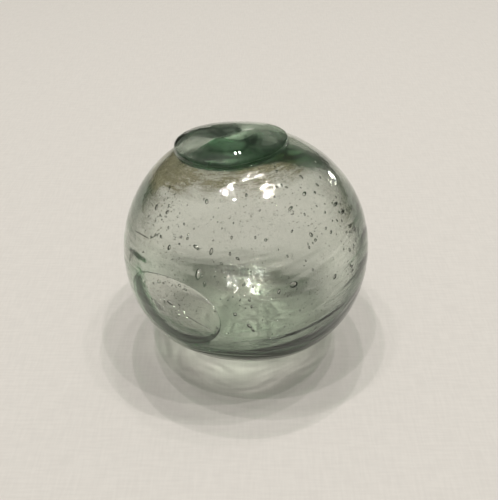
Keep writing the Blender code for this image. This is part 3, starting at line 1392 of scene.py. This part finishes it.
@dataclass(frozen=True)
class GlassBody:
    """The whole ball of glass: skin, button, cavity, blister and seeds as one body."""

    form: FloatForm
    view: PhotoView
    wall: Wall
    blister: Blister
    seeds: Seeds
    finish: FloatGlass
    film: Film
    gathering: Gathering
    columns: int = 232
    top_rings: int = 42
    edge_rings: int = 7
    neck_rings: int = 7
    globe_rings: int = 204
    edge_end: float = radians(-25)
    lobe_height: float = 0.0008
    lobe_middle: tuple[float, float] = (-0.0010, -0.0118)
    lobe_reach: tuple[float, float] = (0.0070, 0.0032)
    button_waves: float = 0.00002
    button_noise: Noise = Noise(1.0, 0.0042, 63)
    button_floor: float = 0.030
    off_button: float = 9.0
    outline_step: Step = (1.0, 0.03)
    button_tone: float = 0.62
    tone_noises: tuple[Noise, ...] = (Noise(0.06, 0.006, 61), Noise(0.05, 0.0022, 62))
    deepest: float = 0.95
    # Painted light and shade on the button: pale strokes are painted highlights and sheen on its
    # ridge, lobe and front, dark ones painted shade in its pit, under its lobe, right side and rim
    painted_button_light_and_shade: tuple[Stroke, ...] = (
        Stroke(((181, 143), (205, 137)), 9.0, -0.16),
        Stroke(((238, 124), (262, 126), (280, 131)), 3.6, -0.60),
        Stroke(((250, 133), (282, 139)), 3.4, -0.16),
        Stroke(((200, 130), (214, 127.5), (240, 127)), 1.8, 0.36),
        Stroke(((220, 131), (226, 135), (238, 131.5)), 3.4, 0.42),
        Stroke(((210, 132), (222, 138), (229, 136)), 2.0, 0.38),
        Stroke(((188, 149), (203, 144), (215, 141)), 1.8, -0.62),
        Stroke(((215, 141), (228, 138.6), (237, 136.3), (245, 132.5)), 1.5, -0.90),
        Stroke(((224, 131), (234, 131)), 1.3, -0.44),
        Stroke(((241, 130.5), (246, 130.3)), 1.1, -0.7),
        Stroke(((212, 146), (240, 145)), 4.4, -0.30),
        Stroke(((210, 151), (228, 152.5), (243, 151), (248, 145), (246, 137)), 1.5, 0.36),
        Stroke(((226, 155), (240, 159), (226, 162)), 3.0, -0.40),
        Stroke(((252, 142), (284, 143)), 5.5, 0.30),
        Stroke(((252, 152), (280, 152)), 5.0, 0.33),
        Stroke(((190, 154), (214, 160)), 4.5, 0.28),
        Stroke(
            ((186, 160), (205, 166), (225, 168), (245, 167), (262, 162), (278, 155)), 3.0, 0.45
        ),
    )
    # Painted shade on the near skin: the dark band where the pocket's low edge shows a dark
    # reflection, painted shadow seen through the ball below its middle and low on the right,
    # painted shade along the bottom limb and a faint darkening inside the pocket; right of the
    # button, strokes of deep glass
    skin_painted_shade_and_deep_strokes: tuple[Stroke, ...] = (
        Stroke(
            (
                (138.5, 278), (141, 290), (147, 304), (157, 318), (172, 332), (190, 340.5),
                (206, 340),
            ),
            4.1, 0.95, 4.0,
        ),
        Stroke(((206, 340), (213, 336), (218, 330)), 2.2, 0.75, 3.0),
        Stroke(((168, 300), (196, 322)), 13.0, 0.18),
        Stroke(((292, 288), (312, 284)), 13.0, 0.60),
        Stroke(((176, 260), (228, 262)), 9.0, 0.22),
        Stroke(
            ((190, 350), (215, 358), (246, 362), (280, 359), (310, 347), (335, 328)), 6.5, 0.55
        ),
        Stroke(((288, 152), (304, 156), (316, 161)), 4.6, 0.52),
        Stroke(((292, 143), (312, 150)), 3.2, 0.16),
    )
    groove: float = 0.0011
    fillet: float = 0.0009
    open_step: Step = (0.0006, 0.0010)
    over_skin: float = 0.00002
    skin_seeds: tuple[int, int] = (11, 21)
    skin_lump_share: float = 0.5
    skin_relief_step: Step = (radians(27), radians(14))
    cavity_columns: int = 144
    cavity_rings: int = 126
    cavity_seeds: tuple[int, int] = (31, 41)
    ceiling_reach: float = radians(30)
    ceiling_lumps: float = 0.00050
    ceiling_noise: Noise = Noise(1.0, 0.0150, 51)
    ceiling_step: Step = (radians(20), radians(12))
    calm_step: Step = (0.9, 0.5)
    bottom_haze: float = 0.06
    bottom_step: Step = (radians(115), radians(35))
    ripple: Stroke = Stroke(((226, 286), (258, 272)), 24.0, 1.0)
    ripple_haze: float = 0.06
    shoulder: Patch = Patch(302, 156, radians(15), 0.8)
    # Painted shade at the limb: an even share and patches where the limb is darkest
    even_limb: float = 0.18
    limb_noise: Noise = Noise(0.5, 0.7, 81)
    limb_top: float = 0.031
    limb_fade: float = 0.003
    deepest_limb: float = 0.94
    limb_patches: tuple[Patch, ...] = (
        Patch(146, 188, radians(24), 0.70),
        Patch(350, 192, radians(18), 0.60),
        Patch(364, 240, radians(23), 0.66),
        Patch(360, 290, radians(22), 0.72),
        Patch(330, 335, radians(26), 0.75),
        Patch(285, 355, radians(26), 0.80),
        Patch(235, 360, radians(26), 0.80),
    )

    def button_rows(self, angles: Array) -> Array:
        """Return the rings of the button's top and round edge, in the blow axis's frame.

        The top is a shallow dome with the carving on it, and the edge is an arc of a circle.

        Args:
            angles: The angles of the columns round the blow axis.

        Returns:
            Points as (rings, columns, 3).
        """
        form = self.form
        top_x, top_z = form.rim_top
        edge_x, edge_z = form.rim_centre
        edge = form.rim_thickness / 2.0
        share = np.arange(1, self.top_rings) / self.top_rings
        turn = np.linspace(form.rim_edge_start, self.edge_end, self.edge_rings + 1)
        radius = np.concatenate((share * top_x, edge_x + edge * np.cos(turn)))
        height = np.concatenate(
            (top_z + form.dome_rise * (1.0 - share**2), edge_z + edge * np.sin(turn))
        )
        spread = radius[:, None] * form.button_share(angles)[None, :]
        x = spread * np.cos(angles) - form.button_shift
        y = spread * np.sin(angles)
        waves = self.button_noise.at(np.stack((x, y, np.zeros_like(x)), axis=-1))
        z = height[:, None] + form.carving(x, y) + self.lobe_lift(x, y)
        z -= self.button_waves * (2.0 - waves)
        return np.stack((x, y, z), axis=-1)

    def lobe_lift(self, x: Array, y: Array) -> Array:
        """Return the lift of the button's front lobe, an oval bell curve.

        Args:
            x: Places across the button.
            y: Places up the button.

        Returns:
            How far the top is lifted at each place.
        """
        off_x = (x - self.lobe_middle[0]) / self.lobe_reach[0]
        off_y = (y - self.lobe_middle[1]) / self.lobe_reach[1]
        return self.lobe_height * np.exp(-(off_x**2 + off_y**2))

    def lifted_off(self, points: Array) -> Array:
        """Push points out to the globe's skin where they are inside it.

        Args:
            points: Points in the blow axis's frame.

        Returns:
            The points, none of them inside the globe.
        """
        distance = np.linalg.norm(points, axis=-1)
        skin = self.form.reach((points / distance[..., None]) @ self.form.turn.T)
        return points * np.maximum(1.0, (skin + self.over_skin) / distance)[..., None]

    def relief(self, ways: Array, seeds: tuple[int, int], lump_share: float = 1.0) -> Array:
        """Return a skin's cords and lumps, drawn with its two seeds."""
        lumps = self.wall.lumps(ways, seeds[1])
        return self.wall.cords(ways, seeds[0]) + lump_share * lumps

    def skin_at(self, polar: Array, longitude: Array | float, height: Array | float) -> Array:
        """Return points at a height over the skin.

        Args:
            polar: Angles from the blow axis.
            longitude: Angles round it.
            height: Heights over the globe's skin.

        Returns:
            World points.
        """
        ways = on_sphere(polar, longitude) @ self.form.turn.T
        relief = np.minimum(self.relief(ways, self.skin_seeds, self.skin_lump_share), 0.0)
        relief *= smooth_step(polar, *self.skin_relief_step)
        away = self.form.reach(ways) + height + relief
        return ways * away[..., None] + self.form.centre

    def outer_skin(self) -> Shell:
        """Build the outer skin from the middle of the button down to the bottom of the ball.

        Each column runs over the button's top and round its edge, in under it where the button
        stands clear of the globe, out again on a fillet, and down a great circle of the globe.

        Returns:
            The shell, with the looks of each point.
        """
        form = self.form
        angles = np.linspace(0.0, 2.0 * pi, self.columns, endpoint=False)
        button = self.lifted_off(self.button_rows(angles))
        last = button[-1]
        away = np.linalg.norm(last, axis=-1)
        polar = np.arccos(last[:, 2] / away)
        longitude = np.unwrap(np.arctan2(last[:, 1], last[:, 0]))
        stand = away - form.reach((last / away[:, None]) @ form.turn.T)
        opened = smooth_step(stand, *self.open_step)
        step = (np.arange(1, self.neck_rings + 1) / self.neck_rings)[:, None]
        inward = self.groove * opened * np.sin(pi * step)
        outward = self.fillet * step**2
        neck_polar = polar + (outward - inward) / form.globe_radius
        neck = self.skin_at(neck_polar, longitude, stand * (1.0 - step) ** 2)
        share = (np.arange(1, self.globe_rings) / self.globe_rings)[:, None]
        globe_polar = neck_polar[-1] + (pi - neck_polar[-1]) * share
        rows = np.concatenate(
            (form.to_world(button), neck, self.skin_at(globe_polar, longitude, 0.0))
        )
        x, y = -form.button_shift, 0.0
        lift = float(form.carving(x, y) + self.lobe_lift(x, y))
        middle = np.array((x, y, form.rim_top[1] + form.dome_rise + lift))
        shell = closed_shell(rows, form.to_world(middle), self.skin_at(np.array(pi), 0.0, 0.0))
        points = shell.points
        points[:, 2] = np.maximum(points[:, 2], 0.0)
        share = self.share_of_button(points)
        shell.values[Look.FILM] = self.film.strength(share, points)
        shell.values[Look.DEEP_TINT_AND_PAINTED_SHADING] = self.deep_tint_and_painted_shading(share, points)
        shell.values[Look.PAINTED_LIMB_SHADE] = self.painted_limb_shade(points)
        shell.values[Look.GLOW] = self.gathering.strength(points)
        return shell

    def share_of_button(self, points: Array) -> Array:
        """Return how far points are from the button's middle.

        Args:
            points: World points.

        Returns:
            Shares of the button's radius, with 1 at its outline.
        """
        form = self.form
        local = (points - form.centre) @ form.turn
        x = local[:, 0] + form.button_shift
        outline = form.button_radius * form.button_share(np.arctan2(local[:, 1], x))
        share = np.hypot(x, local[:, 1]) / outline
        return np.where(local[:, 2] > self.button_floor, share, self.off_button)

    def deep_tint_and_painted_shading(self, share: Array, points: Array) -> Array:
        """Return how much each point of the skin is deepened, by deep glass and painted shade.

        The button is deep glass with painted light and shade on it: painted shade in its pit, under
        its lobe and along its rim, and painted highlights on its ridge and front. On the near skin
        there are strokes of painted shade and shadow, such as the dark band along the pocket's low
        edge, and of deep glass right of the button.

        Args:
            share: How far each point is from the button's middle, with 1 at its outline.
            points: World points.

        Returns:
            Values from 0 to 1.
        """
        on_button = 1.0 - smooth_step(share, *self.outline_step)
        pixels = self.view.pixels_of(points)
        # The button's even deep tint, varied at random, then its painted light and shade
        tone = np.full(len(points), self.button_tone)
        for noise in self.tone_noises:
            tone += noise.at(points)
        for stroke in self.painted_button_light_and_shade:
            tone += stroke.at(pixels)
        marks = np.zeros(len(points))
        # Painted shade and shadow, and deep glass, on the near skin
        for stroke in self.skin_painted_shade_and_deep_strokes:
            marks += stroke.at(pixels)
        marks = np.clip(marks, 0.0, self.deepest) * self.view.near_side(points)
        return np.clip(tone, 0.0, self.deepest) * on_button + marks * (1.0 - on_button)

    def painted_limb_shade(self, points: Array) -> Array:
        """Return how much painted shade each point of the skin takes where it is seen at a slant.

        Args:
            points: World points.

        Returns:
            Values from 0 to 1.
        """
        offset = points - self.form.centre
        ways = normalised(offset)
        strength = self.even_limb * (1.0 + self.limb_noise.at(ways))
        for patch in self.limb_patches:
            strength += patch.strength * patch.share(self.view, ways)
        on_globe = smooth_step((self.limb_top - offset @ self.form.turn[:, 2]) / self.limb_fade)
        return np.clip(strength, 0.0, self.deepest_limb) * on_globe

    def cavity(self) -> Shell:
        """Build the cavity: the skin less the wall, with cords and lumps of its own.

        Returns:
            The shell, its faces towards the air inside.
        """
        form, view = self.form, self.view
        polar = np.linspace(0.0, pi, self.cavity_rings + 2)[1:-1, None]
        longitude = np.linspace(0.0, 2.0 * pi, self.cavity_columns, endpoint=False)
        rows = self.inner_points(on_sphere(polar, longitude) @ form.turn.T)
        poles = self.inner_points(np.array((form.turn[:, 2], -form.turn[:, 2])))
        shell = closed_shell(rows, *poles)
        ways = normalised(shell.points - form.centre)
        drop = self.wall.below_crown(ways)
        ceiling = 1.0 - smooth_step(drop, *self.ceiling_step)
        shoulder = self.shoulder.strength * self.shoulder.share(view, ways)
        low = smooth_step(drop, *self.bottom_step)
        far = 1.0 - view.near_side(shell.points)
        net = far * self.ripple.at(view.pixels_of(shell.points))
        haze = np.maximum(ceiling, shoulder) + self.bottom_haze * low + self.ripple_haze * net
        shell.values[Look.RIPPLE] = net
        shell.values[Look.HAZE] = haze
        return shell.turned_inside_out()

    def inner_points(self, ways: Array) -> Array:
        """Return the cavity's wall.

        Args:
            ways: Unit directions from the globe's centre.

        Returns:
            A world point along each.
        """
        form = self.form
        thick = self.blister.cover(ways, self.wall.thickness(ways))
        relief = self.relief(ways, self.cavity_seeds)
        under = bell(self.wall.below_crown(ways), self.ceiling_reach, 4)
        lumps = 1.0 + self.ceiling_noise.at(ways * form.globe_radius)
        relief -= self.ceiling_lumps * under * lumps
        relief *= smooth_step(self.blister.share_of_reach(ways), *self.calm_step)
        away = form.reach(ways) - thick + relief
        return ways * away[..., None] + form.centre

    def build(self) -> bpy.types.Object:
        """Build and dress the ball.

        Returns:
            The ball, riding on the root in place of both solids.
        """
        shells = [self.outer_skin(), self.cavity(), self.blister.shell()]
        shells += self.seeds.shells()
        mesh = mesh_of("float_ball", shells)
        mesh.materials.append(self.finish.material())
        ball = linked("float_ball", mesh)
        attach(ball, "root")
        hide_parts("glass_globe", "seal_button")
        return ball


@dataclass(frozen=True)
class Cloth:
    """The pale cloth that the ball lies on."""

    size: float = 1.6
    drop: float = 0.0001
    colour: Colour = (0.755, 0.737, 0.690)
    unevenness: float = 0.03
    thread_pitch: float = 0.00045
    thread_scales: tuple[Triple, ...] = ((1.0, 0.12, 1.0), (0.12, 1.0, 1.0))
    weave: Span = Span(0.7, 1.3, 0.0, 1.0)
    roughness: float = 0.9
    specular: float = 0.2

    def build(self) -> bpy.types.Object:
        """Lay the cloth under the ball.

        Returns:
            The floor.
        """
        half = self.size / 2.0
        mesh = bpy.data.meshes.new("cloth")
        corners = [(-half, -half), (half, -half), (half, half), (-half, half)]
        mesh.from_pydata([(x, y, -self.drop) for x, y in corners], [], [(0, 1, 2, 3)])
        mesh.materials.append(self.material())
        cloth = linked("cloth", mesh)
        return cloth

    def material(self) -> bpy.types.Material:
        """Build the cloth's finish: a fine plain weave that is uneven from thread to thread.

        Returns:
            The material.
        """
        material = bpy.data.materials.new("cloth")
        material.use_nodes = True
        graph = Graph(material.node_tree)
        shader = graph.tree.nodes["Principled BSDF"]
        shader.inputs["Roughness"].default_value = self.roughness
        shader.inputs["Specular IOR Level"].default_value = self.specular
        place = graph.add("TexCoord").outputs["Object"]
        warp, weft = (
            graph.noise(graph.mapped(place, "Scale", scales), 0.5 / self.thread_pitch, 1.0)
            for scales in self.thread_scales
        )
        shade = graph.moved(graph.maths("ADD", warp, weft), self.weave)
        dark = tuple((1.0 - self.unevenness) * value for value in self.colour)
        light = tuple((1.0 + self.unevenness) * value for value in self.colour)
        graph.join(graph.blend(shade, dark, light), shader.inputs["Base Color"])
        return material


@dataclass(frozen=True)
class Lamp:
    """One small ceiling lamp: where it is seen from the ball, how large and how strong."""

    azimuth: float
    elevation: float
    width: float
    strength: float


@dataclass(frozen=True)
class Lighting:
    """The ring of ceiling lamps and the soft light of the room."""

    form: FloatForm
    distance: float = 1.9
    power: float = 3.82
    warmth: Colour = (1.0, 0.965, 0.93)
    room_high: Colour = (0.23, 0.22, 0.21)
    room_low: Colour = (0.05, 0.047, 0.042)
    room_rise: Span = Span(0.05, 0.85, 0.0, 1.0)
    lamps: tuple[Lamp, ...] = (
        Lamp(4, 69, 0.06, 0.6),
        Lamp(335, 73, 0.03, 1.15),
        Lamp(17, 75, 0.03, 1.15),
        Lamp(94, 79, 0.025, 1.3),
        Lamp(64, 74, 0.06, 0.5),
        Lamp(229, 75, 0.025, 1.2),
        Lamp(173, 78, 0.03, 1.15),
        Lamp(190, 72, 0.06, 0.6),
        Lamp(50, 7, 0.12, 0.6),
    )

    def hang(self, number: int, lamp: Lamp) -> bpy.types.Object:
        """Hang one lamp and turn it to the ball.

        Args:
            number: The lamp's number.
            lamp: The lamp.

        Returns:
            The light.
        """
        light = bpy.data.lights.new(f"lamp_{number}", "AREA")
        light.shape = "DISK"
        light.size = lamp.width
        light.energy = self.power * lamp.strength
        light.color = self.warmth
        back = unit(radians(lamp.azimuth), radians(lamp.elevation))
        right = normalised(np.cross((0.0, 1.0, 0.0), back))
        axes = np.stack((right, np.cross(back, right), back))
        hung = linked(f"lamp_{number}", light)
        hung.matrix_world = pose(axes, self.form.centre + back * self.distance)
        return hung

    def build(self) -> None:
        """Hang the lamps and light the room, which is brighter overhead than at the sides.

        Args:
        """
        for number, lamp in enumerate(self.lamps):
            self.hang(number, lamp)
        world = bpy.data.worlds.new("room")
        world.use_nodes = True
        graph = Graph(world.node_tree)
        split = graph.add("SeparateXYZ")
        graph.join(graph.add("TexCoord").outputs["Generated"], split.inputs["Vector"])
        rise = graph.moved(split.outputs["Z"], self.room_rise)
        colour = graph.blend(rise, self.room_low, self.room_high)
        graph.join(colour, graph.tree.nodes["Background"].inputs["Color"])
        bpy.context.scene.world = world


def glass_volume(mesh: bpy.types.Mesh) -> float:
    """Return the volume of glass that a mesh bounds, its voids left out.

    Args:
        mesh: A mesh of closed shells, voids turned inside out.

    Returns:
        Cubic metres.
    """
    mesh.calc_loop_triangles()
    points = np.zeros(len(mesh.vertices) * 3)
    mesh.vertices.foreach_get("co", points)
    corners = np.zeros(len(mesh.loop_triangles) * 3, dtype=np.int64)
    mesh.loop_triangles.foreach_get("vertices", corners)
    first, second, third = points.reshape(-1, 3)[corners.reshape(-1, 3)].transpose(1, 0, 2)
    return float(np.einsum("ij,ij->i", first, np.cross(second, third)).sum() / 6.0)


def main() -> None:
    """Build the ball, the cloth, the lamps and the camera, and report each piece."""
    logging.basicConfig(level=logging.INFO, format="%(name)s: %(message)s")
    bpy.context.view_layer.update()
    form = FloatForm()
    view = PhotoView(form)
    view.place_camera()
    wall = Wall(form)
    blister = Blister(form)
    seeds = Seeds(form, view, wall, blister)
    ball = GlassBody(
        form, view, wall, blister, seeds, FloatGlass(), Film(form, view), Gathering(form)
    ).build()
    volume = glass_volume(ball.data) * CUBIC_CM_PER_M3
    triangles = len(ball.data.loop_triangles)
    log.info("%s: %d triangles, %.1f cubic centimetres of glass", ball.name, triangles, volume)
    cloth = Cloth().build()
    log.info("%s: %.1f m square, under the ball", cloth.name, cloth.dimensions.x)
    lighting = Lighting(form)
    lighting.build()
    log.info("lamps: %d, and the light of the room", len(lighting.lamps))
    scene = bpy.context.scene
    scene.view_settings.view_transform = "Standard"
    scene.cycles.max_bounces = BOUNCES
    scene.cycles.transmission_bounces = BOUNCES
    scene.cycles.glossy_bounces = BOUNCES
    scene.cycles.transparent_max_bounces = CLEAR_BOUNCES
    scene.cycles.sample_clamp_indirect = 0.0
    scene.cycles.caustics_reflective = False
    scene.cycles.caustics_refractive = False


if __name__ == "__main__":
    main()
